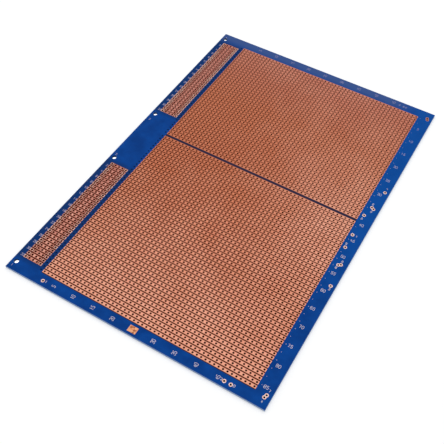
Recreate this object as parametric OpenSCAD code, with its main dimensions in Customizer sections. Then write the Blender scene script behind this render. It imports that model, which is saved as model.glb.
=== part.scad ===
// Bare prototype board, double height, for two 96-way edge connectors.
// A single-sided board: copper strips and lands on the top face, a blue solder
// mask round them and through the gaps, and plain laminate underneath.
//
// Frame: the origin is the centre of the underside. +X runs from the connector
// edge to the front-panel edge, +Y along the board, +Z out of the copper face.

/* [Board] */
// Depth of the board, from the connector edge to the front-panel edge
board_w = 160; // [100:0.5:220]
// Height of the board as it stands in a rack
board_l = 233.35; // [200:0.05:280]
// Thickness of the laminate
board_t = 1.5; // [0.8:0.1:2.4]
// Thickness of the copper
copper_t = 0.035; // [0.035:0.035:0.105]
// Thickness of the solder mask
mask_t = 0.025; // [0.02:0.005:0.03]

/* [Hole grid] */
// Pitch of the hole grid
pitch = 2.54; // [2.5:0.01:2.54]
// Diameter of every grid hole
hole_d = 1.02; // [0.8:0.02:1.2]
// Mask left between two neighbouring pieces of copper
land_gap = 0.4; // [0.3:0.05:0.6]
// Least distance from the front-panel edge to the last hole of a strip
front_border = 9.8; // [9.8:0.2:20]
// Least distance from a short edge to the middle of the nearest strip
end_border = 7.6; // [7.6:0.2:15]
// Strips in the upper field; the lower field takes the rest
upper_rows = 39; // [34:1:39]
// Pitches from the last lower strip to the first upper strip
divider_steps = 1.5; // [1:0.5:2]

/* [Connectors] */
// Rows of lands for each connector
connector_rows = 32; // [24:1:32]
// Diameter of the connector fixing holes
fixing_d = 2.8; // [2.5:0.1:3]
// Distance between the two fixing holes of one connector
fixing_span = 88.9; // [86.5:0.1:89.5]

/* [Edge pads] */
// Outer diameter of the ring pads along the borders
ring_d = 2.1; // [1.8:0.1:2.3]
// Diameter of their holes
ring_hole_d = 1.1; // [0.7:0.05:1.2]
// Centre distance of the two rings of a pair
ring_step = 1.5; // [1.4:0.05:1.8]
// Length of the bare copper patch on the lower border
patch_w = 5; // [4:0.5:6]
// Width of that patch
patch_l = 3.8; // [3:0.2:4]

/* [Hidden] */
$fn = 24;

// Columns are counted in pitches from the connector edge: one line of fixing
// holes, five columns for the connector, one of bare holes, then the strips.
fixing_column = 1;
fixing_shift = 0.3; // from that line towards the connector's own holes
pad_columns = [2, 6];
joined_columns = [3, 5];
bare_column = 7;
first_column = 8;
columns = floor((board_w - front_border) / pitch) - first_column + 1;
last_column = first_column + columns - 1;

total_rows = floor((board_l - 2 * end_border) / pitch - divider_steps) + 2;
lower_rows = total_rows - upper_rows;
// Strips of each field that run on past its connector's outer end
inset_rows = 1;

over = board_t; // how far a cutter runs past the face that it cuts
land = pitch - land_gap;
matrix_l = (total_rows - 2 + divider_steps) * pitch;
connector_span = (connector_rows - 1) * pitch;
connector_mid = matrix_l / 2 - inset_rows * pitch - connector_span / 2;

// Ring pads. On the front border a place is a distance in from the front edge
// and one along the board, from its middle or, for the corner pair, its end.
edge_ring_in = 2.7;
edge_ring_along = 37.9;
middle_pair_in = 3.7;
middle_pair_along = 22.6;
middle_pair_turn = 214; // direction from the first ring of the pair to the second
corner_pair_in = 3.3;
corner_pair_end = 5.6;
corner_pair_turn = 71;
inner_ring_in = 6.6;
inner_ring_along = [-10.6, -0.6, 15.7];
// Single rings on the lower border, all as far from the short edge: one near the
// connector edge, and two near the front edge.
lower_ring_end = 3;
rear_ring_in = 23.3;
front_rings_in = [24.25, 20.5];

patch_column = first_column + floor(columns / 2) - 2;
patch_end = 3.4;

function gx(column) = column * pitch - board_w / 2;
function lower_y(row) = row * pitch - matrix_l / 2;
function upper_y(row) = matrix_l / 2 - row * pitch;

lower_ys = [for (row = [0 : 1 : lower_rows - 1]) lower_y(row)];
upper_ys = [for (row = [0 : 1 : upper_rows - 1]) upper_y(row)];
bare_sites = [for (y = concat(lower_ys, upper_ys)) [gx(bare_column), y]];

// Both rings of a pair, from the first one's place.
function ring_pair(x, y, turn) =
    [[x, y], [x + ring_step * cos(turn), y + ring_step * sin(turn)]];

// A list of places and their mirror images in the other half of the board.
function both_halves(sites) = concat(sites, [for (site = sites) [site[0], -site[1]]]);

front = board_w / 2;
ring_sites = concat(
    both_halves(concat(
        [[front - edge_ring_in, -edge_ring_along]],
        ring_pair(front - middle_pair_in, -middle_pair_along, middle_pair_turn),
        ring_pair(front - corner_pair_in, corner_pair_end - board_l / 2, corner_pair_turn))),
    [for (along = inner_ring_along) [front - inner_ring_in, along]],
    [for (x = concat(rear_ring_in - front, [for (in = front_rings_in) front - in]))
        [x, lower_ring_end - board_l / 2]]);

// Places of one connector's holes, all five columns.
function connector_sites(side) =
    [for (column = [pad_columns[0] : pad_columns[1]], row = [0 : connector_rows - 1])
        [gx(column), side * connector_mid + row * pitch - connector_span / 2]];

function fixing_sites() =
    [for (side = [-1, 1], end = [-1, 1])
        [gx(fixing_column) + fixing_shift,
         side * connector_mid + end * fixing_span / 2]];

// Holes through everything, at a list of places.
module drill(sites, d) {
    for (site = sites)
        translate([site[0], site[1], -over]) cylinder(h = board_t + 2 * over, d = d);
}

// A block from one column to another at height y, one land wide.
module land_block(from_column, to_column, y, z, h) {
    translate([gx(from_column) - land / 2, y - land / 2, z])
        cube([(to_column - from_column) * pitch + land, land, h]);
}

// Everything that the copper of one connector covers: on each row a land, a
// strip joining three holes, and a second land.
module connector_blocks(side, z, h) {
    for (row = [0 : connector_rows - 1])
        for (span = [[pad_columns[0], pad_columns[0]], joined_columns,
                     [pad_columns[1], pad_columns[1]]])
            land_block(span[0], span[1],
                       side * connector_mid + row * pitch - connector_span / 2, z, h);
}

module strip_blocks(ys, z, h) {
    for (y = ys) land_block(first_column, last_column, y, z, h);
}

module ring_discs(z, h) {
    for (site = ring_sites) translate([site[0], site[1], z]) cylinder(h = h, d = ring_d);
}

module patch_block(z, h) {
    translate([gx(patch_column) - patch_w / 2, patch_end - board_l / 2 - patch_l / 2, z])
        cube([patch_w, patch_l, h]);
}

module laminate() {
    color("#c9cfae")
        difference() {
            translate([-board_w / 2, -board_l / 2, 0]) cube([board_w, board_l, board_t]);
            drill(connector_sites(-1), hole_d);
            drill(connector_sites(1), hole_d);
            drill(bare_sites, hole_d);
            drill(fixing_sites(), fixing_d);
            drill(ring_sites, ring_hole_d);
        }
}

// A coat over the whole face with a window for each piece of copper, so thin
// bars of it fill the gaps between strips.
module solder_mask() {
    bottom = board_t - over;
    height = mask_t + 2 * over;
    color("#0b469f")
        difference() {
            translate([-board_w / 2, -board_l / 2, board_t]) cube([board_w, board_l, mask_t]);
            strip_blocks(concat(lower_ys, upper_ys), bottom, height);
            for (side = [-1, 1]) connector_blocks(side, bottom, height);
            ring_discs(bottom, height);
            patch_block(bottom, height);
            drill(bare_sites, hole_d);
            drill(fixing_sites(), fixing_d);
        }
}

// Parallel strips across the board, each with a hole on every column.
module strips(ys) {
    color("#d08a6a")
        for (y = ys)
            difference() {
                land_block(first_column, last_column, y, board_t, copper_t);
                drill([for (column = [first_column : last_column]) [gx(column), y]], hole_d);
            }
}

module connector_lands(side) {
    color("#cf8767")
        difference() {
            connector_blocks(side, board_t, copper_t);
            drill(connector_sites(side), hole_d);
        }
}

module ring_pads() {
    color("#dca183")
        difference() {
            ring_discs(board_t, copper_t);
            drill(ring_sites, ring_hole_d);
        }
}

module copper_patch() {
    color("#df9a70") patch_block(board_t, copper_t);
}

laminate();
solder_mask();
strips(lower_ys);  // lower_strips
strips(upper_ys);  // upper_strips
connector_lands(-1);  // lower_connector_lands
connector_lands(1);  // upper_connector_lands
ring_pads();
copper_patch();
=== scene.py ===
"""Dressed scene of a bare double-height prototype board.

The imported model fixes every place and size. The laminate and the two fields of
strips are rebuilt here with every hole through them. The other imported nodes
keep their own meshes and get a worked finish.
"""

import logging
import math
from dataclasses import dataclass, field
from enum import Enum
from functools import cache
from typing import Iterable, NamedTuple, Union

import bpy
from mathutils import Matrix, Vector


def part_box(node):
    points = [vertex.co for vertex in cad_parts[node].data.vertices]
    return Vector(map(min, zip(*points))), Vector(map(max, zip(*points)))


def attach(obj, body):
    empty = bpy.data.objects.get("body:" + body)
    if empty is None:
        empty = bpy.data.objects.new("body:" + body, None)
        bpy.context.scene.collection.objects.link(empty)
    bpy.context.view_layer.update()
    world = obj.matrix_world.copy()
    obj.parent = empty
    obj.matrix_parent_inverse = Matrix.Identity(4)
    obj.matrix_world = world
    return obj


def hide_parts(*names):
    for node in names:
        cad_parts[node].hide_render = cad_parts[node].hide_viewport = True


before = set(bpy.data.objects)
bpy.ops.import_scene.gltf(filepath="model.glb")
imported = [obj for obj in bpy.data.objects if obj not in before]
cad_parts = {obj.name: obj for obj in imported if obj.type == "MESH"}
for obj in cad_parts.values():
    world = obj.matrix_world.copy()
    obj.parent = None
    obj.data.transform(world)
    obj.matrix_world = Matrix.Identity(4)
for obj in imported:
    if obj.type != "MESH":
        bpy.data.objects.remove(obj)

MM = 0.001
BODY = "root"
X, Y = 0, 1
log = logging.getLogger("prototype_board")

Socket = bpy.types.NodeSocket
Material = bpy.types.Material
Mesh = bpy.types.Mesh
Piece = bpy.types.Object
Feed = Union[Socket, float, int, tuple]
Colour = tuple[float, float, float]
Stroke = tuple[tuple[float, float], ...]


# ---------------------------------------------------------------- measures


@dataclass(frozen=True)
class Span:
    """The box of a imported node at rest."""

    low: Vector
    high: Vector

    @classmethod
    @cache
    def of(cls, node: str) -> "Span":
        """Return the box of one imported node."""
        return cls(*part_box(node))

    @property
    def middle(self) -> Vector:
        """Return the middle of the box."""
        return (self.low + self.high) / 2

    @property
    def size(self) -> Vector:
        """Return the box's three sides."""
        return self.high - self.low


@dataclass(frozen=True)
class HoleSizes:
    """Sizes that every pierced part shares, in metres."""

    pitch: float = 2.54 * MM
    land_gap: float = 0.4 * MM
    bore: float = 1.02 * MM
    ring_bore: float = 1.1 * MM
    fixing_bore: float = 2.8 * MM
    fixing_span: float = 88.9 * MM
    fixing_shift: float = 0.3 * MM

    @property
    def land(self) -> float:
        """Return the width of one strip or land."""
        return self.pitch - self.land_gap

    def count(self, length: float) -> int:
        """Return how many lands fill a length, gaps between them included."""
        return round((length - self.land) / self.pitch) + 1


@dataclass(frozen=True)
class PitchGrid:
    """Equal shapes on the hole grid, in columns and rows.

    Attributes:
        label: Name that the grid's inputs carry in its tree.
        low: Place of the first column and row.
        columns: Shapes along X.
        rows: Shapes along Y.
    """

    label: str
    low: Vector
    columns: int
    rows: int

    def middle(self, pitch: float) -> Vector:
        """Return the middle of the whole grid."""
        reach = Vector((self.columns - 1, self.rows - 1, 0)) * pitch / 2
        return self.low + reach


class Half(Enum):
    """The two halves of the board, each with a strip field and a connector."""

    LOWER = "lower"
    UPPER = "upper"

    @property
    def strips(self) -> str:
        """Return the name of this half's strip node."""
        return f"{self.value}_strips"

    @property
    def lands(self) -> str:
        """Return the name of this half's connector node."""
        return f"{self.value}_connector_lands"


@dataclass(frozen=True)
class BoardPlan:
    """Every place on the board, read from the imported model's boxes."""

    sizes: HoleSizes = HoleSizes()
    board: Span = field(default_factory=lambda: Span.of("laminate"))
    coat: Span = field(default_factory=lambda: Span.of("solder_mask"))

    def field_grid(self, half: Half) -> PitchGrid:
        """Find the hole grid of one half's strips.

        Args:
            half: Which half.

        Returns:
            The grid, at the height of the strips' underside.
        """
        span, count = Span.of(half.strips), self.sizes.count
        inset = Vector((self.sizes.land / 2, self.sizes.land / 2, 0))
        label = f"{half.value} strips"
        return PitchGrid(label, span.low + inset, count(span.size.x), count(span.size.y))

    def drilled_grids(self) -> list[PitchGrid]:
        """Return the grids that together hold every hole on the pitch.

        Returns:
            For each half, the strips' holes with the column of bare ones
            beside them, and the connector's.
        """
        inset, count, grids = self.sizes.land / 2, self.sizes.count, []
        for half in Half:
            strips, lands = self.field_grid(half), Span.of(half.lands)
            bare = strips.low - Vector((self.sizes.pitch, 0, 0))
            first = Vector((lands.low.x + inset, lands.low.y + inset, 0))
            columns, rows = count(lands.size.x), count(lands.size.y)
            grids += [
                PitchGrid(f"{half.value} field", bare, strips.columns + 1, strips.rows),
                PitchGrid(f"{half.value} connector", first, columns, rows),
            ]
        return grids

    def trenches(self) -> tuple[Span, ...]:
        """Find the wider dark gaps beside the strips.

        Returns:
            The gap between the two fields, and the line under the lower one.
        """
        lower, upper = (Span.of(half.strips) for half in Half)
        low = Vector((lower.low.x, lower.high.y, 0))
        divider = Span(low, Vector((upper.high.x, upper.low.y, upper.high.z)))
        line = Span(
            lower.low - Vector((0, self.sizes.land_gap, lower.low.z)),
            Vector((lower.high.x, lower.low.y, lower.high.z)),
        )
        return divider, line

    def land_surrounds(self) -> tuple[Span, ...]:
        """Find the board round each connector's lands.

        Returns:
            For each connector, the box from the board's edge to the strips.
        """
        surrounds = []
        for half in Half:
            lands, strips = Span.of(half.lands), Span.of(half.strips)
            low = Vector((self.board.low.x, lands.low.y, 0))
            surrounds.append(Span(low, Vector((strips.low.x, lands.high.y, lands.high.z))))
        return tuple(surrounds)

    def drilled_area(self) -> Span:
        """Return the part of the board from the connectors' lands to the front edge."""
        low = Vector((Span.of(Half.LOWER.lands).low.x, self.board.low.y, 0))
        return Span(low, self.board.high)

    def fixing_sites(self) -> list[Vector]:
        """Find the connectors' fixing holes.

        Returns:
            The places of the four holes.
        """
        x = self.board.low.x + self.sizes.pitch + self.sizes.fixing_shift
        half_span = self.sizes.fixing_span / 2
        return [
            Vector((x, Span.of(half.lands).middle.y + end * half_span, 0))
            for half in Half
            for end in (-1, 1)
        ]


@dataclass(frozen=True)
class RingPlan:
    """Places of the ring pads along the borders, in millimetres.

    A place on the front border is a distance in from the front edge and one
    along the board, from its middle or, for the corner pair, from its end.
    """

    step: float = 1.5
    edge_in: float = 2.7
    edge_along: float = 37.9
    middle_in: float = 3.7
    middle_along: float = 22.6
    middle_turn: float = 214.0
    corner_in: float = 3.3
    corner_end: float = 5.6
    corner_turn: float = 71.0
    inner_in: float = 6.6
    inner_along: tuple[float, ...] = (-10.6, -0.6, 15.7)
    lower_end: float = 3.0
    rear_in: float = 23.3
    front_in: tuple[float, ...] = (24.25, 20.5)

    def pair(self, x: float, y: float, turn: float) -> list[Vector]:
        """Find both rings of a pair.

        Args:
            x: The first ring's X.
            y: The first ring's Y.
            turn: Direction to the second ring, in degrees.

        Returns:
            The two places.
        """
        angle = math.radians(turn)
        step = Vector((math.cos(angle), math.sin(angle), 0)) * self.step
        first = Vector((x, y, 0))
        return [first, first + step]

    def sites(self, board: Span) -> list[Vector]:
        """Return every ring's place in metres.

        Args:
            board: The box of the laminate.

        Returns:
            One place for each ring.
        """
        front, end = board.high.x / MM, board.low.y / MM
        mirrored = [
            Vector((front - self.edge_in, -self.edge_along, 0)),
            *self.pair(front - self.middle_in, -self.middle_along, self.middle_turn),
            *self.pair(front - self.corner_in, end + self.corner_end, self.corner_turn),
        ]
        other_half = [Vector((site.x, -site.y, 0)) for site in mirrored]
        single = [Vector((front - self.inner_in, along, 0)) for along in self.inner_along]
        row = (self.rear_in - front, *(front - reach for reach in self.front_in))
        single += [Vector((x, end + self.lower_end, 0)) for x in row]
        return [site * MM for site in mirrored + other_half + single]


# ------------------------------------------------------------- node sheets


class NodeSheet:
    """Adds nodes to a tree and joins them up."""

    def __init__(self, tree: bpy.types.NodeTree) -> None:
        """Keep the tree that the nodes go into."""
        self.tree = tree

    def feed(self, entry: Socket, value: Feed) -> None:
        """Join an input to another socket or give it a value.

        Args:
            entry: The input.
            value: What it gets; a colour comes without its alpha.
        """
        if isinstance(value, Socket):
            self.tree.links.new(value, entry)
        elif entry.type == "RGBA":
            entry.default_value = (*value, 1.0)
        else:
            entry.default_value = value

    def add(
        self, kind: str, feeds: dict[int | str, Feed] | None = None, **options: object
    ) -> bpy.types.Node:
        """Add one node.

        Args:
            kind: Blender's name for the node's type.
            feeds: What each input gets, a socket to join or a value.
            options: Settings of the node itself.

        Returns:
            The new node.
        """
        node = self.tree.nodes.new(kind)
        for name, value in options.items():
            setattr(node, name, value)
        for key, value in (feeds or {}).items():
            self.feed(node.inputs[key], value)
        return node

    def math(self, operation: str, *values: Feed, clamp: bool = False) -> Socket:
        """Do one sum on numbers.

        Args:
            operation: Blender's name for the sum.
            values: What it is done on.
            clamp: True where the result is kept from 0 to 1.

        Returns:
            The result's socket.
        """
        feeds = dict(enumerate(values))
        node = self.add("ShaderNodeMath", feeds, operation=operation, use_clamp=clamp)
        return node.outputs[0]

    def total(self, operation: str, values: Iterable[Feed]) -> Socket:
        """Take many values together by one operation, two at a time.

        Args:
            operation: Blender's name for the sum.
            values: What it is done on.

        Returns:
            The result's socket.
        """
        first, *others = values
        for value in others:
            first = self.math(operation, first, value)
        return first

    def times(self, *values: Feed) -> Socket:
        """Return the product of some values."""
        return self.total("MULTIPLY", values)

    def most(self, *values: Feed) -> Socket:
        """Return the largest of some values."""
        return self.total("MAXIMUM", values)

    def less(self, value: Feed, other: Feed, clamp: bool = False) -> Socket:
        """Return a value less another one."""
        return self.math("SUBTRACT", value, other, clamp=clamp)

    def below(self, value: Feed, limit: Feed) -> Socket:
        """Return 1 where a value is under a limit, and 0 elsewhere."""
        return self.math("LESS_THAN", value, limit)

    def above(self, value: Feed, limit: Feed) -> Socket:
        """Return 1 where a value is over a limit, and 0 elsewhere."""
        return self.math("GREATER_THAN", value, limit)


class ShapeTree(NodeSheet):
    """A Geometry Nodes tree whose sizes are named inputs."""

    def __init__(self, name: str) -> None:
        """Start the tree with the mesh that it is laid on.

        Args:
            name: The tree's name.
        """
        super().__init__(bpy.data.node_groups.new(name, "GeometryNodeTree"))
        self.entry = self.tree.nodes.new("NodeGroupInput")
        self.values: dict[str, object] = {}
        self.start = self.take("Geometry", "Geometry")

    def take(self, label: str, kind: str, value: object = None) -> Socket:
        """Add a named input.

        Args:
            label: The input's name.
            kind: Its type, such as Float, Int or Vector.
            value: What the modifier gives it, where the tree is the outer one.

        Returns:
            The socket that carries it inside the tree.
        """
        item = self.tree.interface.new_socket(
            label, in_out="INPUT", socket_type=f"NodeSocket{kind}"
        )
        if value is not None:
            self.values[item.identifier] = value
        return next(s for s in self.entry.outputs if s.identifier == item.identifier)

    def cylinder(self, sides: int, radius: Feed, depth: Feed) -> Socket:
        """Return an upright cylinder."""
        feeds = {"Vertices": sides, "Radius": radius, "Depth": depth}
        return self.add("GeometryNodeMeshCylinder", feeds).outputs["Mesh"]

    def moved(self, shape: Socket, way: Socket) -> Socket:
        """Return a shape moved by a vector."""
        feeds = {"Geometry": shape, "Translation": way}
        return self.add("GeometryNodeTransform", feeds).outputs[0]

    def copies(self, points: Socket, shape: Socket, scale: Feed = (1.0, 1.0, 1.0)) -> Socket:
        """Set a shape on every point.

        Args:
            points: The points.
            shape: What is copied.
            scale: The copies' scale, which may differ by point.

        Returns:
            The copies as one plain geometry.
        """
        feeds = {"Points": points, "Instance": shape, "Scale": scale}
        placed = self.add("GeometryNodeInstanceOnPoints", feeds)
        return self.add("GeometryNodeRealizeInstances", {0: placed.outputs[0]}).outputs[0]

    def cut(self, solid: Socket, cutters: Iterable[Socket]) -> Socket:
        """Take cutters out of a solid.

        Args:
            solid: What is cut.
            cutters: Closed geometries that don't touch one another.

        Returns:
            The solid less the cutters.
        """
        for cutter in cutters:
            node = self.add(
                "GeometryNodeMeshBoolean",
                {0: solid, 1: cutter},
                operation="DIFFERENCE",
                solver="MANIFOLD",
            )
            solid = node.outputs[0]
        return solid

    def give(self, geometry: Socket) -> None:
        """End the tree.

        Args:
            geometry: What it hands over.
        """
        self.tree.interface.new_socket(
            "Geometry", in_out="OUTPUT", socket_type="NodeSocketGeometry"
        )
        self.add("NodeGroupOutput", {0: geometry})

    def close(self, geometry: Socket, finish: Material) -> None:
        """Make the geometry plain, give it its finish and end the tree.

        Args:
            geometry: What the tree has built.
            finish: The material that it gets.
        """
        plain = self.add("GeometryNodeRealizeInstances", {0: geometry})
        paint = self.take("Finish", "Material", finish)
        feeds = {"Geometry": plain.outputs[0], "Material": paint}
        self.give(self.add("GeometryNodeSetMaterial", feeds).outputs[0])

    def made(self, name: str, chart: Mesh) -> Piece:
        """Lay the tree on a mesh and keep the result as a plain mesh.

        Args:
            name: Name of the new piece.
            chart: The mesh that the tree starts from.

        Returns:
            The piece, at the origin and without modifiers.
        """
        piece = bpy.data.objects.new(name, chart)
        bpy.context.scene.collection.objects.link(piece)
        modifier = piece.modifiers.new("shape", "NODES")
        modifier.node_group = self.tree
        for identifier, value in self.values.items():
            modifier[identifier] = value
        evaluated = piece.evaluated_get(bpy.context.evaluated_depsgraph_get())
        mesh = bpy.data.meshes.new_from_object(evaluated)
        piece.modifiers.remove(modifier)
        piece.data = mesh
        mesh.name = name
        return piece


class PitchRepeat:
    """The inner tree that sets one shape on every place of a pitch grid."""

    def __init__(self) -> None:
        """Build the tree once for all its users."""
        inner = ShapeTree("repeat_on_pitch")
        middle = inner.take("Middle", "Vector")
        columns, rows = inner.take("Columns", "Int"), inner.take("Rows", "Int")
        pitch = inner.take("Pitch", "Float")
        wide, long = (inner.times(inner.less(count, 1), pitch) for count in (columns, rows))
        feeds = {0: wide, 1: long, 2: columns, 3: rows}
        grid = inner.add("GeometryNodeMeshGrid", feeds).outputs[0]
        inner.give(inner.copies(inner.moved(grid, middle), inner.start))
        self.tree = inner.tree

    def lay(self, outer: ShapeTree, grid: PitchGrid, shape: Socket, pitch: Socket) -> Socket:
        """Set a shape on one grid of another tree.

        Args:
            outer: The tree that uses the grid, which gets its named inputs.
            grid: Where the shapes go.
            shape: The shape's geometry.
            pitch: The outer tree's pitch.

        Returns:
            All the copies as one geometry.
        """
        middle = tuple(grid.middle(HoleSizes().pitch))
        feeds = {
            "Geometry": shape,
            "Middle": outer.take(f"{grid.label} middle", "Vector", middle),
            "Columns": outer.take(f"{grid.label} columns", "Int", grid.columns),
            "Rows": outer.take(f"{grid.label} rows", "Int", grid.rows),
            "Pitch": pitch,
        }
        return outer.add("GeometryNodeGroup", feeds, node_tree=self.tree).outputs[0]


@dataclass(frozen=True)
class Drill:
    """A round cutter for many equal holes.

    Attributes:
        bore: Diameter of the hole.
        depth: Length of the cutter, longer than the sheet is thick.
        sides: Flats round the cutter.
        clear: True where the flats stay outside the true circle.
    """

    bore: float
    depth: float
    sides: int
    clear: bool = False

    def cutter(self, tree: ShapeTree) -> Socket:
        """Make the cutter in a tree, with its bore as a named input.

        Args:
            tree: The tree that uses it.

        Returns:
            The cutter's geometry.
        """
        flat = math.cos(math.pi / self.sides)
        share = 0.5 / (flat if self.clear else math.sqrt(flat))
        bore = tree.take("Bore", "Float", self.bore)
        return tree.cylinder(self.sides, tree.times(bore, share), self.depth)


def stand_in(piece: Piece, node: str, crease: float) -> None:
    """Smooth the round walls of a pierced sheet and let it replace its node.

    Args:
        piece: The new sheet.
        node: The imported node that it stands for.
        crease: Angle in degrees from which an edge stays sharp.
    """
    piece.data.shade_smooth()
    piece.data.set_sharp_from_angle(angle=math.radians(crease))
    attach(piece, BODY)
    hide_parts(node)


# ---------------------------------------------------------------- finishes


class Ramp(NamedTuple):
    """A rise from start to end while a value goes from low to high, held beyond."""

    low: float
    high: float
    start: float = 0.0
    end: float = 1.0


class Shader(NodeSheet):
    """A material's nodes round one Principled shader."""

    def __init__(self, name: str) -> None:
        """Start a material with its shader and its output.

        Args:
            name: The material's name.
        """
        self.material = bpy.data.materials.new(name)
        self.material.use_nodes = True
        super().__init__(self.material.node_tree)
        self.tree.nodes.clear()
        self.body = self.add("ShaderNodeBsdfPrincipled")
        self.add("ShaderNodeOutputMaterial", {0: self.body.outputs[0]})
        place = self.add("ShaderNodeTexCoord").outputs["Object"]
        self.place = self.add(
            "ShaderNodeVectorMath", {0: place, "Scale": 1 / MM}, operation="SCALE"
        ).outputs[0]

    def stretched(self, x: float, y: float, z: float) -> Socket:
        """Return the place in millimetres, drawn out by axis."""
        feeds = {"Vector": self.place, "Scale": (x, y, z)}
        return self.add("ShaderNodeMapping", feeds).outputs[0]

    def axis(self, which: int) -> Socket:
        """Return one coordinate of the place in millimetres."""
        return self.add("ShaderNodeSeparateXYZ", {0: self.place}).outputs[which]

    def vector(self, operation: str, *values: Feed, output: str = "Vector") -> Socket:
        """Return the result of one sum on vectors."""
        feeds = dict(enumerate(values))
        return self.add("ShaderNodeVectorMath", feeds, operation=operation).outputs[output]

    def noise(
        self,
        grain: float,
        detail: float = 2.0,
        rough: float = 0.5,
        place: Socket | None = None,
    ) -> Socket:
        """Return a cloudy value round one half.

        Args:
            grain: Clouds in a millimetre.
            detail: Layers of finer clouds.
            rough: How strong the finer clouds are.
            place: Coordinates other than the plain place.

        Returns:
            The value's socket.
        """
        feeds = {"Vector": place or self.place, "Scale": grain}
        feeds |= {"Detail": detail, "Roughness": rough}
        return self.add("ShaderNodeTexNoise", feeds).outputs["Fac"]

    def spread(self, value: Socket, ramp: Ramp) -> Socket:
        """Return where a value stands on a ramp."""
        feeds = dict(enumerate((value, *ramp)))
        return self.add("ShaderNodeMapRange", feeds).outputs[0]

    def along(self, which: int, ramp: Ramp) -> Socket:
        """Return a ramp laid along one axis, in millimetres."""
        return self.spread(self.axis(which), ramp)

    def blend(self, factor: Feed, first: Feed, second: Feed) -> Socket:
        """Return two colours mixed by a factor."""
        feeds = {0: factor, 6: first, 7: second}
        return self.add("ShaderNodeMix", feeds, data_type="RGBA").outputs[2]

    def wave(self, which: int, angle: float) -> Socket:
        """Return a sine along one axis that turns by an angle each millimetre."""
        return self.math("SINE", self.times(self.axis(which), angle))

    def off_line(self, which: int, line: float, pitch: float) -> Socket:
        """Return how far the place is from the nearest of many lines.

        Args:
            which: The axis that the lines are spaced along.
            line: Where one of them is, in millimetres.
            pitch: Their spacing in millimetres.

        Returns:
            The distance in millimetres.
        """
        return self.math("PINGPONG", self.less(self.axis(which), line), pitch / 2)

    def off_middle(self, which: int, middle: float = 0.0) -> Socket:
        """Return how far the place is from one line, in millimetres."""
        return self.math("ABSOLUTE", self.less(self.axis(which), middle))

    def inside(self, span: Span) -> Socket:
        """Tell the inside of a box, as it is seen from above.

        Args:
            span: The box.

        Returns:
            1 inside and 0 outside.
        """
        middle, size = span.middle / MM, span.size / MM
        away = (self.off_middle(axis, middle[axis]) for axis in (X, Y))
        return self.times(*map(self.below, away, size.xy / 2))

    def relief(self, height: Socket, depth: float, strength: float) -> None:
        """Raise the surface by a height map.

        Args:
            height: The map, from 0 to 1.
            depth: What 1 stands for, in metres.
            strength: How much of it shows.
        """
        feeds = {"Height": height, "Distance": depth, "Strength": strength}
        self.feed(self.body.inputs["Normal"], self.add("ShaderNodeBump", feeds).outputs[0])

    def finish(self, inputs: dict[str, Feed]) -> Material:
        """Give the shader its inputs.

        Args:
            inputs: What each one gets, by its name.

        Returns:
            The finished material.
        """
        for name, value in inputs.items():
            self.feed(self.body.inputs[name], value)
        return self.material


# Where the tones of the board's far end set in along Y, in millimetres. On the
# strips and lands they are partly tarnish and partly painted reflection; on the
# rings they are painted shade.
FAR_END = (60.0, 112.0)


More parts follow.
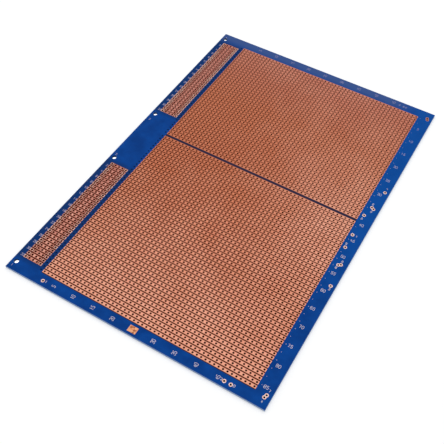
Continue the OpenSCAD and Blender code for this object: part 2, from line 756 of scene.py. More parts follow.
@dataclass(frozen=True)
class CopperFinish:
    """Bare copper on the hole grid: lapped grain, tarnish with a painted reflection, painted
    shade at the edges.

    The dulling is partly tarnish and partly painted reflection: a stain, a rise
    along the lower half, a second one at the upper end and clouds, less a painted
    sheen towards the front edge, so the copper is lighter towards the front edge
    and the lower end. Ramps along an axis are in millimetres from the middle of
    the board.

    Attributes:
        hole: Place of one hole of the grid.
        far: Tone of the copper at the far end, partly tarnish and partly painted reflection.
        spot: Tone of freckles.
        glint: Tone of brighter flecks, painted glints.
        edge: Tone of the painted shade beside the gaps and round the holes.
        pale: Tone of the outer lands, where there are any.
        pale_from: Distances from the connector edge between which the tone
            isn't pale, in millimetres.
        patchy: How much the tone differs from one half pitch to the next.
        rim: Width of the painted shade round a hole, in millimetres.
        rim_blur: Shares of the rim between which it fades.
        margin: Width of the painted shade beside a gap, in millimetres.
        margin_blur: Shares of the margin between which it fades.
    """

    name: str
    hole: Vector
    sizes: HoleSizes = HoleSizes()
    fresh: Colour = (0.567, 0.262, 0.180)
    dull: Colour = (0.408, 0.128, 0.065)
    far: Colour = (0.423, 0.149, 0.103)
    spot: Colour = (0.25, 0.085, 0.045)
    glint: Colour = (0.74, 0.42, 0.32)
    edge: Colour = (0.085, 0.010, 0.002)
    pale: Colour = (0.55, 0.34, 0.28)
    pale_from: tuple[float, float] = (0.0, 160.0)
    patchy: float = 0.22
    freckles: Ramp = Ramp(0.58, 0.74, 0.0, 0.5)
    glints: Ramp = Ramp(0.32, 0.44, 0.3, 0.0)
    roughness: Ramp = Ramp(0.3, 0.7, 0.40, 0.55)
    stain_middle: tuple[float, float] = (-50.0, 32.0)
    stain: Ramp = Ramp(20.0, 80.0, 0.4, 0.0)
    rise: Ramp = Ramp(-100.0, -35.0, 0.0, 0.68)
    end_rise: Ramp = Ramp(55.0, 90.0, 0.0, 0.15)
    clouds: Ramp = Ramp(0.3, 0.7, -0.15, 0.2)
    # Painted reflection: a sheen that keeps the copper bright towards the front edge.
    clean_across: Ramp = Ramp(15.0, 65.0, 0.0, 0.68)
    clean_from: Ramp = Ramp(-70.0, -25.0)
    clean_to: Ramp = Ramp(0.0, 60.0, 1.0, 0.0)
    rim: float = 0.06
    rim_blur: tuple[float, float] = (0.6, 1.4)
    rim_fade: Ramp = Ramp(20.0, 100.0, 1.0, 0.45)
    margin: float = 0.17
    margin_blur: tuple[float, float] = (1.3, 0.6)
    margin_fade: Ramp = Ramp(-45.0, 40.0, 1.0, 0.35)

    def tarnish(self, shader: Shader) -> Socket:
        """Lay out how dull the copper is, from tarnish and from painted reflection.

        Args:
            shader: The material that it is part of.

        Returns:
            How dull it is, from 0 to 1.
        """
        flat, middle = shader.stretched(1.0, 1.0, 0.0), (*self.stain_middle, 0.0)
        away = shader.vector("DISTANCE", flat, middle, output="Value")
        dulled = (
            shader.spread(away, self.stain),
            shader.along(Y, self.rise),
            shader.along(Y, self.end_rise),
            shader.spread(shader.noise(grain=0.045, detail=3.0), self.clouds),
        )
        # Painted reflection: the copper is kept bright towards the front edge.
        near_sheen = shader.times(
            shader.along(X, self.clean_across),
            shader.along(Y, self.clean_from),
            shader.along(Y, self.clean_to),
        )
        return shader.less(shader.total("ADD", dulled), near_sheen, clamp=True)

    def paleness(self, shader: Shader) -> Socket:
        """Pick out the outer lands.

        Args:
            shader: The material that it is part of.

        Returns:
            1 on them and 0 elsewhere.
        """
        start, end = (Span.of("laminate").low.x / MM + reach for reach in self.pale_from)
        across = shader.axis(X)
        return shader.most(shader.below(across, start), shader.above(across, end))

    def patches(self, shader: Shader) -> Socket:
        """Draw a chance tone for each half pitch of a strip.

        Args:
            shader: The material that it is part of.

        Returns:
            Its share of the dull tone.
        """
        pitch = self.sizes.pitch / MM
        one_cell = (pitch / 2, pitch, 1000.0)  # a single layer of cells
        place = shader.vector("SUBTRACT", shader.place, tuple(self.hole / MM))
        place = shader.vector("DIVIDE", place, one_cell)
        cell = shader.vector("FLOOR", shader.vector("ADD", place, (0.5, 0.5, 0.5)))
        chance = shader.add("ShaderNodeTexWhiteNoise", {"Vector": cell}).outputs["Value"]
        return shader.times(chance, self.patchy)

    def dark_edge(self, shader: Shader) -> Socket:
        """Paint shade on the copper beside the gaps and round the holes, weaker towards the far
        end.

        Args:
            shader: The material that it is part of.

        Returns:
            1 in those places and 0 elsewhere.
        """
        pitch, bore, land = self.sizes.pitch / MM, self.sizes.bore / MM, self.sizes.land / MM
        offsets = [shader.off_line(axis, self.hole[axis] / MM, pitch) for axis in (X, Y)]
        squares = (shader.times(offset, offset) for offset in offsets)
        away = shader.math("SQRT", shader.total("ADD", squares))
        inner, outer = (bore / 2 + self.rim * share for share in self.rim_blur)
        rim = shader.spread(away, Ramp(inner, outer, 1.0, 0.0))
        inner, outer = (land / 2 - self.margin * share for share in self.margin_blur)
        margin = shader.spread(offsets[Y], Ramp(inner, outer))
        return shader.most(
            shader.times(rim, shader.along(Y, self.rim_fade)),
            shader.times(margin, shader.along(Y, self.margin_fade)),
        )

    def build(self) -> Material:
        """Build the copper.

        Returns:
            The material.
        """
        shader = Shader(self.name)
        # Partly painted reflection: the dull tone turns to the far tone towards the far end.
        dull = shader.blend(shader.along(Y, Ramp(*FAR_END)), self.dull, self.far)
        tone = shader.blend(self.tarnish(shader), self.fresh, dull)
        tone = shader.blend(self.paleness(shader), tone, self.pale)
        tone = shader.blend(self.patches(shader), tone, self.dull)
        speckle = shader.noise(grain=1.3, detail=4.0, rough=0.65)
        tone = shader.blend(shader.spread(speckle, self.freckles), tone, self.spot)
        # Painted highlight: brighter flecks stand in for glints on the copper.
        tone = shader.blend(shader.spread(speckle, self.glints), tone, self.glint)
        # Painted shade beside the gaps and round the holes.
        tone = shader.blend(self.dark_edge(shader), tone, self.edge)
        grain = shader.noise(grain=1.0, rough=0.6, place=shader.stretched(0.5, 9.0, 3.0))
        shader.relief(grain, depth=0.006 * MM, strength=0.6)
        rough = shader.spread(grain, self.roughness)
        return shader.finish({"Base Color": tone, "Metallic": 1.0, "Roughness": rough})


@dataclass(frozen=True)
class PadFinish:
    """Brighter copper of the pads that stand alone on the borders.

    Attributes:
        stain: Tone of marks, and of the painted shade on far pads.
        wear: How worn the copper is, by noise.
        marks: How strong the marks are, by noise.
        far_marks: How strong the stain tone is along the board, as painted shade towards the
            far end.
    """

    name: str
    bright: Colour
    worn: Colour
    stain: Colour = (0.30, 0.11, 0.09)
    wear: Ramp = Ramp(0.42, 0.62)
    marks: Ramp = Ramp(0.50, 0.58, 0.0, 0.0)
    far_marks: Ramp = Ramp(*FAR_END, 0.0, 0.0)
    roughness: float = 0.45

    def build(self) -> Material:
        """Build the pads' copper.

        Returns:
            The material.
        """
        shader = Shader(self.name)
        cloud = shader.noise(grain=1.1, detail=3.0, rough=0.6)
        tone = shader.blend(shader.spread(cloud, self.wear), self.bright, self.worn)
        marks = shader.spread(shader.noise(grain=0.9), self.marks)
        # Real marks by noise, and painted shade towards the far end.
        marks_and_far_shade = shader.most(marks, shader.along(Y, self.far_marks))
        tone = shader.blend(marks_and_far_shade, tone, self.stain)
        shader.relief(shader.noise(grain=3.0), depth=0.006 * MM, strength=0.5)
        rough = self.roughness
        return shader.finish({"Base Color": tone, "Metallic": 1.0, "Roughness": rough})


@dataclass(frozen=True)
class MaskFinish:
    """Blue lacquer over a fine glass weave.

    Ramps along an axis are in millimetres from the middle of the board.

    Attributes:
        gap_fields: The boxes of the copper whose gaps are dark, from the laminate under thin
            lacquer and from painted shade.
        trenches: The boxes of wider dark gaps, likewise partly painted shade.
        shaded: The boxes round the connectors' lands that are darker.
        shade_fade: How far past its box the shade fades, in millimetres.
        haze: Painted reflection, a paler tone on the upper border, as strong as its two ramps
            say.
        vivid: Tone of the front border, likewise.
        weave: Spacing of the threads, in millimetres.
        woven: How much the threads darken.
        specular: Specular level outside the gaps.
    """

    gap_fields: tuple[Span, ...]
    trenches: tuple[Span, ...]
    shaded: tuple[Span, ...]
    name: str = "blue_mask"
    deep: Colour = (0.001, 0.040, 0.215)
    clear: Colour = (0.002, 0.060, 0.300)
    clouds: Ramp = Ramp(0.35, 0.68)
    # Laminate under thin lacquer, darkened further as painted shade beside the copper.
    gap: Colour = (0.050, 0.005, 0.001)
    trench: Colour = (0.024, 0.020, 0.050)
    shade: Colour = (0.004, 0.030, 0.130)
    shade_fade: float = 3.0
    shaded_by: float = 0.85
    # Painted reflection: a paler tone along the upper border.
    haze: Colour = (0.048, 0.092, 0.256)
    hazy_along: Ramp = Ramp(107.0, 113.0, 0.0, 0.8)
    hazy_across: Ramp = Ramp(52.0, 68.0, 1.0, 0.1)
    vivid: Colour = (0.002, 0.086, 0.375)
    vivid_along: Ramp = Ramp(-60.0, 10.0, 0.0, 0.5)
    vivid_across: Ramp = Ramp(62.0, 72.0)
    roughness: Ramp = Ramp(0.3, 0.7, 0.34, 0.46)
    weave: float = 0.62
    woven: float = 0.16
    specular: float = 0.03

    def near(self, shader: Shader, span: Span) -> Socket:
        """Shade the lacquer round a connector's lands.

        Args:
            shader: The material that it is part of.
            span: The box round them.

        Returns:
            How strong the shade is, fading past the box's ends.
        """
        low, high, fade = span.low.y / MM, span.high.y / MM, self.shade_fade
        return shader.times(
            shader.along(Y, Ramp(low - fade, low, 0.0, self.shaded_by)),
            shader.along(Y, Ramp(high, high + fade, 1.0, 0.0)),
            shader.below(shader.axis(X), span.high.x / MM),
        )

    def build(self) -> Material:
        """Build the lacquer.

        Returns:
            The material.
        """
        shader = Shader(self.name)
        cloud = shader.noise(grain=0.11, detail=4.0, rough=0.6)
        tone = shader.blend(shader.spread(cloud, self.clouds), self.deep, self.clear)
        angle = math.tau / self.weave
        threads = shader.times(shader.wave(X, angle), shader.wave(Y, angle))
        weave = shader.spread(threads, Ramp(-1.0, 1.0))
        tone = shader.blend(shader.times(weave, self.woven), tone, self.deep)
        shaded = shader.most(*(self.near(shader, span) for span in self.shaded))
        tone = shader.blend(shaded, tone, self.shade)
        # Painted reflection on the upper border, then a more vivid tone on the front border.
        for tint, along, across in (
            (self.haze, self.hazy_along, self.hazy_across),
            (self.vivid, self.vivid_along, self.vivid_across),
        ):
            amount = shader.times(shader.along(Y, along), shader.along(X, across))
            tone = shader.blend(amount, tone, tint)
        # The gaps and trenches are dark: laminate under thin lacquer, with painted shade beside
        # the copper.
        in_gap, in_trench = (
            shader.most(*(shader.inside(span) for span in spans))
            for spans in (self.gap_fields, self.trenches)
        )
        tone = shader.blend(in_trench, tone, self.trench)
        fine = shader.noise(grain=2.2, detail=3.0)
        shader.relief(shader.math("ADD", weave, fine), depth=0.004 * MM, strength=0.5)
        shine = shader.times(shader.less(1.0, in_gap), self.specular)
        return shader.finish(
            {
                "Base Color": shader.blend(in_gap, tone, self.gap),
                "Roughness": shader.spread(fine, self.roughness),
                "Specular IOR Level": shine,
            }
        )


@dataclass(frozen=True)
class LaminateFinish:
    """Glass-epoxy sheet: a pale weave on its faces, with painted shade in its drilled walls.

    Attributes:
        weave: Spacing of the threads, in millimetres.
        fixing_strip: Depth of the strip with the fixing holes, in millimetres
            from the connector edge.
        bare_strip: Where the bare holes' strip starts and ends, likewise.
        upright: How far a wall's normal may lean.
        edge_skin: Depth of the outer edges, in millimetres.
        clouds: How much of the threads' tone shows, by noise.
        woven: How much more of it shows along the threads.
        specular: Specular level outside the drilled walls.
    """

    name: str = "glass_epoxy"
    face: Colour = (0.56, 0.60, 0.42)
    thread: Colour = (0.68, 0.71, 0.54)
    # Painted shade: the drilled walls are near black, those of the fixing and bare holes dark
    # blue.
    wall: Colour = (0.030, 0.003, 0.001)
    fixing_wall: Colour = (0.030, 0.075, 0.220)
    bare_wall: Colour = (0.030, 0.065, 0.210)
    edge: Colour = (0.30, 0.40, 0.60)
    weave: float = 0.62
    fixing_strip: float = 4.0
    bare_strip: tuple[float, float] = (16.5, 19.05)
    upright: float = 0.5
    edge_skin: float = 0.05
    clouds: Ramp = Ramp(0.3, 0.7, 0.0, 0.6)
    woven: Ramp = Ramp(0.2, 1.0, 0.0, 0.5)
    roughness: Ramp = Ramp(0.3, 0.7, 0.45, 0.6)
    specular: float = 0.4

    def build(self) -> Material:
        """Build the glass-epoxy.

        Returns:
            The material.
        """
        board, shader = Span.of("laminate"), Shader(self.name)
        cloud = shader.noise(grain=0.06, detail=3.0)
        tone = shader.blend(shader.spread(cloud, self.clouds), self.face, self.thread)
        waves = (shader.wave(axis, math.pi / self.weave) for axis in (X, Y))
        threads = shader.times(*(shader.math("ABSOLUTE", wave) for wave in waves))
        tone = shader.blend(shader.spread(threads, self.woven), tone, self.thread)
        normal = shader.add("ShaderNodeNewGeometry").outputs["Normal"]
        slope = shader.add("ShaderNodeSeparateXYZ", {0: normal}).outputs[2]
        wall = shader.below(shader.math("ABSOLUTE", slope), self.upright)
        outside = (
            shader.above(shader.off_middle(axis), board.high[axis] / MM - self.edge_skin)
            for axis in (X, Y)
        )
        edge = shader.times(wall, shader.most(*outside))
        inward = shader.less(shader.axis(X), board.low.x / MM)
        fixing = shader.below(inward, self.fixing_strip)
        start, end = self.bare_strip
        bare = shader.times(shader.above(inward, start), shader.below(inward, end))
        bored = shader.blend(bare, self.wall, self.bare_wall)
        # Painted shade inside the holes.
        tone = shader.blend(wall, tone, shader.blend(fixing, bored, self.fixing_wall))
        shader.relief(threads, depth=0.01 * MM, strength=0.5)
        shine = shader.times(shader.less(1.0, wall), self.specular)
        return shader.finish(
            {
                "Base Color": shader.blend(edge, tone, self.edge),
                "Roughness": shader.spread(cloud, self.roughness),
                "Specular IOR Level": shine,
            }
        )


@dataclass(frozen=True)
class InkFinish:
    """Pale legend ink, thin enough for the blue to show in places.

    Attributes:
        edge_strip: Depth of the strip along the connector edge, in millimetres.
        edge_faded: How faded the ink is in that strip.
        far_faded: How faded the ink is elsewhere, along the board.
    """

    name: str = "legend_ink"
    full: Colour = (0.84, 0.74, 0.76)
    thin: Colour = (0.34, 0.36, 0.54)
    faded: Colour = (0.19, 0.19, 0.42)
    wear: Ramp = Ramp(0.4, 0.7, 0.0, 0.9)
    edge_strip: float = 6.0
    edge_faded: float = 0.55
    far_faded: Ramp = Ramp(10.0, 95.0, 0.0, 0.85)
    roughness: Ramp = Ramp(0.3, 0.7, 0.5, 0.7)
    specular: float = 0.25

    def build(self) -> Material:
        """Build the ink.

        Returns:
            The material.
        """
        shader = Shader(self.name)
        worn = shader.spread(shader.noise(grain=2.5, detail=3.0), self.wear)
        tone = shader.blend(worn, self.full, self.thin)
        strip_end = Span.of("laminate").low.x / MM + self.edge_strip
        by_edge = shader.below(shader.axis(X), strip_end)
        faded = shader.most(
            shader.times(by_edge, self.edge_faded),
            shader.times(shader.less(1.0, by_edge), shader.along(Y, self.far_faded)),
        )
        return shader.finish(
            {
                "Base Color": shader.blend(faded, tone, self.faded),
                "Roughness": shader.spread(shader.noise(grain=8.0), self.roughness),
                "Specular IOR Level": self.specular,
            }
        )


# ------------------------------------------------------------------ pieces


@dataclass
class Laminate:
    """The glass-epoxy sheet with every hole through it."""

    plan: BoardPlan
    rings: RingPlan
    repeat: PitchRepeat
    sides: int = 8
    odd_sides: int = 16
    reach: float = 1.0 * MM
    crease: float = 50.0

    def chart(self) -> Mesh:
        """Mark the holes that are off the pitch.

        Returns:
            A mesh with a point for each, which carries its bore.
        """
        sizes = self.plan.sizes
        holes = [(site, sizes.fixing_bore) for site in self.plan.fixing_sites()]
        holes += [(site, sizes.ring_bore) for site in self.rings.sites(self.plan.board)]
        mesh = bpy.data.meshes.new("odd_holes")
        mesh.from_pydata([tuple(site) for site, _ in holes], [], [])
        bores = mesh.attributes.new("bore", "FLOAT", "POINT")
        bores.data.foreach_set("value", [bore for _, bore in holes])
        return mesh

    def build(self, finish: Material) -> Piece:
        """Build the sheet.

        Args:
            finish: The laminate's material.

        Returns:
            The new piece.
        """
        board, tree = self.plan.board, ShapeTree("drilled_sheet")
        size = tree.take("Sheet size", "Vector", tuple(board.size))
        sheet = tree.add("GeometryNodeMeshCube", {0: size}).outputs[0]
        middle = tree.take("Sheet middle", "Vector", tuple(board.middle))
        pitch = tree.take("Pitch", "Float", self.plan.sizes.pitch)
        depth = 2 * (board.high.z + self.reach)
        shape = Drill(self.plan.sizes.bore, depth, self.sides, clear=True).cutter(tree)
        cutters = [
            self.repeat.lay(tree, grid, shape, pitch) for grid in self.plan.drilled_grids()
        ]
        pin = tree.cylinder(self.odd_sides, radius=0.5, depth=depth)
        named = tree.add("GeometryNodeInputNamedAttribute", {"Name": "bore"}, data_type="FLOAT")
        bore = named.outputs[0]
        width = tree.add("ShaderNodeCombineXYZ", {0: bore, 1: bore, 2: 1.0}).outputs[0]
        cutters.append(tree.copies(tree.start, pin, width))
        tree.close(tree.cut(tree.moved(sheet, middle), cutters), finish)
        piece = tree.made("laminate_sheet", self.chart())
        stand_in(piece, "laminate", self.crease)
        return piece


@dataclass
class StripField:
    """Parallel copper strips with a hole on every column."""

    plan: BoardPlan
    half: Half
    repeat: PitchRepeat
    sides: int = 16
    reach: float = 0.5 * MM
    crease: float = 40.0

    def build(self, finish: Material) -> Piece:
        """Build one half's strips.

        Args:
            finish: The copper's material.

        Returns:
            The new piece.
        """
        span, sizes = Span.of(self.half.strips), self.plan.sizes
        holes, level = self.plan.field_grid(self.half), span.middle.z
        first_bar = Vector((span.middle.x, holes.low.y, level))
        first_hole = Vector((holes.low.x, holes.low.y, level))
        bars = PitchGrid("strips", first_bar, 1, holes.rows)
        drilled = PitchGrid("holes", first_hole, holes.columns, holes.rows)
        tree = ShapeTree(f"{self.half.value}_strip_field")
        size = tree.take("Strip size", "Vector", (span.size.x, sizes.land, span.size.z))
        bar = tree.add("GeometryNodeMeshCube", {0: size}).outputs[0]
        pitch = tree.take("Pitch", "Float", sizes.pitch)
        solid = self.repeat.lay(tree, bars, bar, pitch)
        shape = Drill(sizes.bore, 2 * self.reach, self.sides).cutter(tree)
        cutter = self.repeat.lay(tree, drilled, shape, pitch)
        tree.close(tree.cut(solid, [cutter]), finish)
        piece = tree.made(f"{self.half.value}_strip_field", bpy.data.meshes.new("start"))
        stand_in(piece, self.half.strips, self.crease)
        return piece


@dataclass
class CarriedParts:
    """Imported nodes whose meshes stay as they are."""

    finishes: dict[str, Material]

    def dress(self) -> list[Piece]:
        """Give each node its finish.

        Returns:
            The nodes.
        """
        dressed = []
        for name, finish in self.finishes.items():
            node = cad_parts[name]
            for place in node.material_slots:
                place.material = finish
            dressed.append(node)
        return dressed


class Turn(Enum):
    """Which way a number on the board reads."""

    ACROSS = 0.0
    UP_THE_BOARD = 90.0


@dataclass(frozen=True)
class Lettering:
    """The size of one kind of number, in millimetres."""

    height: float
    width: float
    gap: float
    turn: Turn = Turn.ACROSS


# Numerals as pen strokes on a field four wide and six high.
NUMERALS: dict[str, tuple[Stroke, ...]] = {
    "0": (((1, 0), (3, 0), (4, 1), (4, 5), (3, 6), (1, 6), (0, 5), (0, 1), (1, 0)),),
    "1": (((0.8, 4.8), (2, 6), (2, 0)),),
    "2": (((0, 5), (1, 6), (3, 6), (4, 5), (4, 4), (0, 0), (4, 0)),),
    "3": (((0, 5), (1, 6), (3, 6), (4, 5), (4, 4), (3, 3.1), (1.5, 3.1)),
          ((3, 3.1), (4, 2.2), (4, 1), (3, 0), (1, 0), (0, 1))),
    "4": (((3, 0), (3, 6), (0, 2), (4, 2)),),
    "5": (((4, 6), (0.4, 6), (0.2, 3.4), (3, 3.6), (4, 2.6), (4, 1), (3, 0), (1, 0), (0, 1)),),
    "6": (((4, 5), (3, 6), (1, 6), (0, 5), (0, 1), (1, 0), (3, 0), (4, 1), (4, 2.5), (3, 3.5),
           (1, 3.5), (0, 2.5)),),
    "7": (((0, 6), (4, 6), (1.5, 0)),),
    "8": (((1, 3.1), (0, 4), (0, 5), (1, 6), (3, 6), (4, 5), (4, 4), (3, 3.1), (1, 3.1)),
          ((1, 3.1), (0, 2.2), (0, 1), (1, 0), (3, 0), (4, 1), (4, 2.2), (3, 3.1))),
    "9": (((0, 1), (1, 0), (3, 0), (4, 1), (4, 5), (3, 6), (1, 6), (0, 5), (0, 3.5), (1, 2.5),
           (3, 2.5), (4, 3.5)),),
}
NUMERAL_FIELD = (4.0, 6.0)

# A numeral beside each ring pad and fixing hole, with its distances from the
# connector edge and the lower end in millimetres.
SITE_NUMERALS: tuple[tuple[str, float, float], ...] = (
    ("1", 2.4, 2.6), ("2", 2.4, 97.2), ("3", 2.4, 133.2), ("4", 2.4, 229.8),
    ("1", 25.3, 3.3), ("2", 134.1, 3.2), ("0", 141.3, 3.2), ("4", 156.7, 3.2),
    ("7", 157.5, 9.7), ("3", 157.5, 76.6), ("8", 154.7, 91.0), ("6", 156.2, 96.3),
    ("9", 152.9, 108.7), ("1", 155.9, 116.2), ("5", 153.2, 129.6), ("6", 156.0, 136.9),
    ("8", 154.7, 142.6), ("4", 157.3, 158.0), ("6", 136.3, 230.1), ("8", 139.2, 229.9),
    ("0", 140.9, 229.9),
)


def rounded(stroke: Stroke, cut: float = 0.28) -> list[Vector]:
    """Cut every corner of a stroke once and keep its two ends.

    Args:
        stroke: The corners.
        cut: Share of each line that a cut takes.

    Returns:
        The new points.
    """
    points = [Vector(point) for point in stroke]
    eased = [points[0]]
    for start, end in zip(points, points[1:]):
        eased += [start.lerp(end, cut), start.lerp(end, 1 - cut)]
    return [*eased, points[-1]]


@dataclass
class Legend:
    """Numbers and dots printed along the borders, in millimetres.

    Attributes:
        line: Width of a pen line.
        ink: Thickness of the ink.
        proud: Share of that thickness from the lacquer to the ink's middle.
        step: Rows or columns from one number to the next.
        skipped_row: The row whose number is left out.
        patch_column: The column whose lower number the copper patch displaces.
        row_in: Row numbers' distance from the front edge.
        column_end: Column numbers' distance from the short edges.
        connector_in: Connector numbers' distance from the connector edge.
        dot_in: The dots' distance from the front edge.
    """

    plan: BoardPlan
    line: float = 0.22
    ink: float = 0.018
    proud: float = 0.4
    step: int = 5
    skipped_row: int = 35
    last_column: int = 45
    patch_column: int = 25
    row_in: float = 5.0
    column_end: float = 3.1
    connector_in: float = 2.9
    dot_in: float = 7.4
    dot: float = 0.32
    dot_sides: int = 12
    row_style: Lettering = Lettering(1.7, 1.05, 0.35)
    column_style: Lettering = Lettering(2.2, 0.95, 0.3, Turn.UP_THE_BOARD)
    connector_style: Lettering = Lettering(1.45, 0.85, 0.3)
    site_style: Lettering = Lettering(1.3, 0.85, 0.3)
    vertices: list[tuple[float, ...]] = field(default_factory=list)
    edges: list[tuple[int, int]] = field(default_factory=list)

    @property
    def level(self) -> float:
        """Return the height of the ink's middle, in metres."""
        return self.plan.coat.high.z + self.ink * MM * self.proud

    @property
    def rows(self) -> int:
        """Return how many strips the board has."""
        return sum(self.plan.field_grid(half).rows for half in Half)

    def write(self, text: str, x: float, y: float, style: Lettering) -> None:
        """Draw a number about a place.

        Args:
            text: The number.
            x: The place's X in metres.
            y: The place's Y in metres.
            style: Its size and direction.
        """
        advance = style.width + style.gap
        start = -(len(text) * advance - style.gap) / 2
        turn = Matrix.Rotation(math.radians(style.turn.value), 2)
        scale = Vector((style.width / NUMERAL_FIELD[0], style.height / NUMERAL_FIELD[1]))
        for index, numeral in enumerate(text):
            left = start + index * advance
            for stroke in NUMERALS[numeral]:
                first = len(self.vertices)
                for point in rounded(stroke):
                    rise = point.y * scale.y - style.height / 2
                    place = turn @ Vector((left + point.x * scale.x, rise)) * MM
                    self.vertices.append((x + place.x, y + place.y, self.level))
                last = len(self.vertices) - 1
                self.edges += [(i, i + 1) for i in range(first, last)]

    def row_y(self, number: int) -> float:
        """Find a row.

        Args:
            number: Its number, counted from the upper end of the board.

        Returns:
            Its Y in metres.
        """
        lower, upper = (self.plan.field_grid(half) for half in Half)
        grid, last = (upper, upper.rows) if number <= upper.rows else (lower, self.rows)
        return grid.low.y + (last - number) * self.plan.sizes.pitch

    def column_x(self, number: int) -> float:
        """Return the X of a column, counted from the strips' first hole."""
        first = self.plan.field_grid(Half.LOWER).low.x
        return first + (number - 1) * self.plan.sizes.pitch

    def draw_row_numbers(self) -> None:
        """Draw the numbers along the front border."""
        x = self.plan.board.high.x - self.row_in * MM
        for number in range(self.step, self.rows + 1, self.step):
            if number != self.skipped_row:
                self.write(str(number), x, self.row_y(number), self.row_style)

    def draw_column_numbers(self) -> None:
        """Draw the numbers along both short borders."""
        reach = self.plan.board.high.y - self.column_end * MM
        for number in range(self.step, self.last_column + 1, self.step):
            for end in (-1, 1):
                if end > 0 or number != self.patch_column:
                    x = self.column_x(number)
                    self.write(str(number), x, end * reach, self.column_style)

    def draw_connector_numbers(self) -> None:
        """Draw the even numbers beside the connectors' lands."""
        x = self.plan.board.low.x + self.connector_in * MM
        for half in Half:
            lands, sizes = Span.of(half.lands), self.plan.sizes
            count = sizes.count(lands.size.y)
            for number in range(2, count + 1, 2):
                y = lands.low.y + sizes.land / 2 + (count - number) * sizes.pitch
                self.write(str(number), x, y, self.connector_style)

    def draw_site_numbers(self) -> None:
        """Draw the small numerals beside the ring pads and the fixing holes."""
        corner = self.plan.board.low
        for numeral, x, y in SITE_NUMERALS:
            self.write(numeral, corner.x + x * MM, corner.y + y * MM, self.site_style)

    def numbers(self, finish: Material) -> Piece:
        """Build every number as flat pen lines.

        Args:
            finish: The ink.

        Returns:
            The new piece.
        """
        self.draw_row_numbers()
        self.draw_column_numbers()
        self.draw_connector_numbers()
        self.draw_site_numbers()
        chart = bpy.data.meshes.new("number_lines")
        chart.from_pydata(self.vertices, self.edges, [])
        tree = ShapeTree("pen_lines")
        line = tree.add("GeometryNodeMeshToCurve", {0: tree.start}).outputs[0]
        flat = tree.add("GeometryNodeSetCurveNormal", {0: line}, mode="Z_UP").outputs[0]
        width = tree.take("Line width", "Float", self.line * MM)
        height = tree.take("Ink thickness", "Float", self.ink * MM)
        feeds = {"Width": width, "Height": height}
        pen = tree.add("GeometryNodeCurvePrimitiveQuadrilateral", feeds).outputs[0]
        feeds = {"Curve": flat, "Profile Curve": pen, "Fill Caps": True}
        tree.close(tree.add("GeometryNodeCurveToMesh", feeds).outputs[0], finish)
        return tree.made("legend_numbers", chart)

    def dots(self, finish: Material) -> Piece:
        """Build the dots beside every second strip.

        Args:
            finish: The ink.

        Returns:
            The new piece.
        """
        x = self.plan.board.high.x - self.dot_in * MM
        sites = [(x, self.row_y(row), self.level) for row in range(1, self.rows + 1, 2)]
        chart = bpy.data.meshes.new("dot_places")
        chart.from_pydata(sites, [], [])
        tree = ShapeTree("ink_dots")
        diameter = tree.take("Dot diameter", "Float", self.dot * MM)
        height = tree.take("Ink thickness", "Float", self.ink * MM)
        spot = tree.cylinder(self.dot_sides, tree.times(diameter, 0.5), height)
        tree.close(tree.copies(tree.start, spot), finish)
        return tree.made("legend_dots", chart)

    def build(self, finish: Material) -> list[Piece]:
        """Build the numbers and the dots.

        Args:
            finish: The ink.

        Returns:
            The two new pieces.
        """
        pieces = [self.numbers(finish), self.dots(finish)]
        for piece in pieces:
            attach(piece, BODY)
        return pieces


# ------------------------------------------------------------------ studio


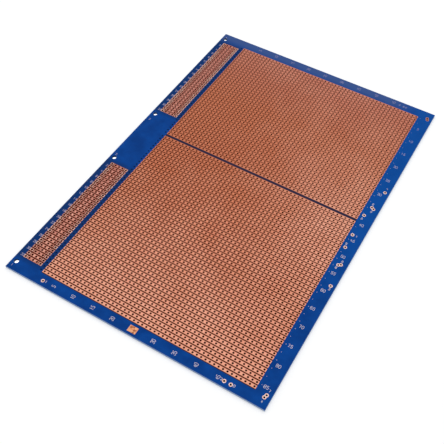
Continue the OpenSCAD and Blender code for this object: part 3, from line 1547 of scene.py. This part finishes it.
@dataclass(frozen=True)
class Studio:
    """Floor, lamp, surroundings and camera, in metres and degrees.

    Attributes:
        covered: The drilled part of the board, under which the floor is painted dark as shadow.
        open_strip: Depth of the strip along the connector edge under which the
        floor glows brightest, a painted light seen through the fixing holes.
        glow: Brightness of the rest of the floor.
        surround: Strength of the even light.
        lens: Focal length in millimetres.
        azimuth: Direction that the camera looks in, from +Y towards -X.
        elevation: How far down it looks.
        distance: How far it is from the target.
    """

    board: Span
    covered: Span
    paper: Colour = (0.86, 0.86, 0.86)
    # Painted shadow: the floor's tone under the drilled part.
    under: Colour = (0.03, 0.01, 0.005)
    open_strip: float = 4.5 * MM
    glow: float = 0.2
    floor_size: float = 3.0
    floor_drop: float = 0.05 * MM
    surround: float = 0.72
    lamp_size: float = 1.6
    lamp_place: tuple[float, float, float] = (-0.25, 0.35, 1.3)
    lamp_watts: float = 7.0
    lens: float = 55.55
    sensor: float = 36.0
    shift: tuple[float, float] = (-0.0531, -0.0057)
    clip: tuple[float, float] = (0.01, 20.0)
    azimuth: float = 27.471
    elevation: float = 52.739
    roll: float = 2.8
    distance: float = 396.1 * MM
    target: tuple[float, float, float] = (15.19 * MM, -21.38 * MM, 0.0)

    def place(self, name: str, data: bpy.types.ID) -> Piece:
        """Put something into the scene.

        Args:
            name: Its name.
            data: A mesh, a lamp or a camera.

        Returns:
            The new object.
        """
        placed = bpy.data.objects.new(name, data)
        bpy.context.scene.collection.objects.link(placed)
        return placed

    def paper_finish(self) -> Material:
        """Build the floor's paper, white to the camera but for the shadow, with painted shadow
        under the drilled part and painted light under the fixing strip.

        Returns:
            The material.
        """
        shader, low = Shader("studio_paper"), self.board.low
        # Painted shadow: the floor under the drilled part is dark and doesn't glow.
        covered = shader.inside(self.covered)
        strip = Span(low, Vector((low.x + self.open_strip, self.board.high.y, 0)))
        # Painted light: the floor under the fixing strip glows fully to the camera.
        bright = shader.spread(shader.inside(strip), Ramp(0.0, 1.0, self.glow, 1.0))
        seen = shader.add("ShaderNodeLightPath").outputs["Is Camera Ray"]
        return shader.finish(
            {
                "Base Color": shader.blend(covered, self.paper, self.under),
                "Roughness": 0.9,
                "Specular IOR Level": 0.0,
                "Emission Color": (1.0, 1.0, 1.0),
                "Emission Strength": shader.times(seen, shader.less(1.0, covered), bright),
            }
        )

    def floor(self) -> None:
        """Lay a pale floor that keeps the board's shadow."""
        mesh, half = bpy.data.meshes.new("studio_floor"), self.floor_size / 2
        corners = [(-half, -half), (half, -half), (half, half), (-half, half)]
        mesh.from_pydata([(x, y, -self.floor_drop) for x, y in corners], [], [(0, 1, 2, 3)])
        mesh.materials.append(self.paper_finish())
        self.place("studio_floor", mesh)

    def world(self) -> None:
        """Surround the board with an even light that looks white."""
        world = bpy.data.worlds.new("studio_world")
        world.use_nodes = True
        world.node_tree.nodes.clear()
        sheet = NodeSheet(world.node_tree)
        path = sheet.add("ShaderNodeLightPath").outputs
        rays = ("Is Camera Ray", "Is Glossy Ray", "Is Transmission Ray")
        seen = sheet.most(*(path[ray] for ray in rays))
        plain, white = (
            sheet.add("ShaderNodeBackground", {0: (1.0, 1.0, 1.0), 1: strength}).outputs[0]
            for strength in (self.surround, 1.0)
        )
        mixed = sheet.add("ShaderNodeMixShader", {0: seen, 1: plain, 2: white}).outputs[0]
        sheet.add("ShaderNodeOutputWorld", {0: mixed})
        bpy.context.scene.world = world

    def lamp(self) -> None:
        """Hang a large soft lamp over the board's far side."""
        data = bpy.data.lights.new("soft_lamp", "AREA")
        data.shape, data.size, data.energy = "SQUARE", self.lamp_size, self.lamp_watts
        lamp = self.place("soft_lamp", data)
        lamp.location = self.lamp_place
        lamp.rotation_euler = Vector(self.lamp_place).to_track_quat("Z", "Y").to_euler()

    def camera(self) -> None:
        """Set the camera."""
        azimuth, elevation, roll = map(
            math.radians, (self.azimuth, self.elevation, self.roll)
        )
        across, along = -math.sin(azimuth), math.cos(azimuth)
        out, down = math.cos(elevation), -math.sin(elevation)
        ahead = Vector((across * out, along * out, down))
        level = ahead.cross(Vector((0, 0, 1))).normalized()
        rise = level.cross(ahead)
        right = level * math.cos(roll) + rise * math.sin(roll)
        up = rise * math.cos(roll) - level * math.sin(roll)
        data = bpy.data.cameras.new("camera")
        data.lens, data.sensor_width = self.lens, self.sensor
        data.shift_x, data.shift_y = self.shift
        data.clip_start, data.clip_end = self.clip
        camera = self.place("camera", data)
        eye = Vector(self.target) - ahead * self.distance
        turn = Matrix((right, up, -ahead)).transposed().to_4x4()
        camera.matrix_world = Matrix.Translation(eye) @ turn
        bpy.context.scene.camera = camera

    def build(self) -> None:
        """Set up everything round the board."""
        self.floor()
        self.world()
        self.lamp()
        self.camera()
        bpy.context.scene.view_settings.view_transform = "Standard"


def land_finish(plan: BoardPlan, half: Half) -> CopperFinish:
    """Choose the worn copper of one connector's lands.

    Args:
        plan: The board's places.
        half: Whose connector it is.

    Returns:
        The finish.
    """
    pitch = plan.sizes.pitch / MM
    return CopperFinish(
        f"{half.value}_land_copper",
        plan.field_grid(half).low,
        fresh=(0.515, 0.232, 0.172),
        dull=(0.395, 0.150, 0.115),
        far=(0.395, 0.128, 0.098),
        spot=(0.15, 0.040, 0.018),
        # Painted highlights: the lands get many bright flecks.
        glint=(0.80, 0.48, 0.38),
        pale_from=(2.5 * pitch, 5.5 * pitch),
        patchy=0.9,
        freckles=Ramp(0.52, 0.66, 0.0, 0.9),
        glints=Ramp(0.32, 0.44, 0.9, 0.0),
        rim=0.14,
        margin=0.19,
    )


def carried_finishes(plan: BoardPlan) -> dict[str, Material]:
    """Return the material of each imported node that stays.

    Args:
        plan: The board's places.

    Returns:
        The materials by the nodes' names.
    """
    copper = [Span.of(node) for half in Half for node in (half.strips, half.lands)]
    rings = PadFinish(
        "ring_copper",
        bright=(0.66, 0.49, 0.45),
        worn=(0.52, 0.30, 0.24),
        # Painted shade: the far rings take the stain tone.
        far_marks=Ramp(*FAR_END, 0.0, 0.9),
    )
    patch = PadFinish(
        "patch_copper",
        bright=(0.54, 0.27, 0.15),
        worn=(0.50, 0.18, 0.08),
        stain=(0.14, 0.03, 0.01),
        marks=Ramp(0.50, 0.58, 0.0, 0.8),
    )
    finishes = {half.lands: land_finish(plan, half) for half in Half}
    finishes |= {"ring_pads": rings, "copper_patch": patch}
    finishes["solder_mask"] = MaskFinish(
        gap_fields=tuple(copper), trenches=plan.trenches(), shaded=plan.land_surrounds()
    )
    return {node: finish.build() for node, finish in finishes.items()}


def main() -> None:
    """Build the board's pieces in order and report each one."""
    logging.basicConfig(level=logging.INFO, format="%(name)s: %(message)s")
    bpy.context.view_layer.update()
    plan, repeat = BoardPlan(), PitchRepeat()
    pieces = [Laminate(plan, RingPlan(), repeat).build(LaminateFinish().build())]
    for half in Half:
        copper = CopperFinish(f"{half.value}_strip_copper", plan.field_grid(half).low)
        pieces.append(StripField(plan, half, repeat).build(copper.build()))
    pieces += CarriedParts(carried_finishes(plan)).dress()
    pieces += Legend(plan).build(InkFinish().build())
    Studio(plan.board, plan.drilled_area()).build()
    for piece in pieces:
        piece.data.calc_loop_triangles()
        log.info("%s: %d triangles", piece.name, len(piece.data.loop_triangles))


if __name__ == "__main__":
    main()
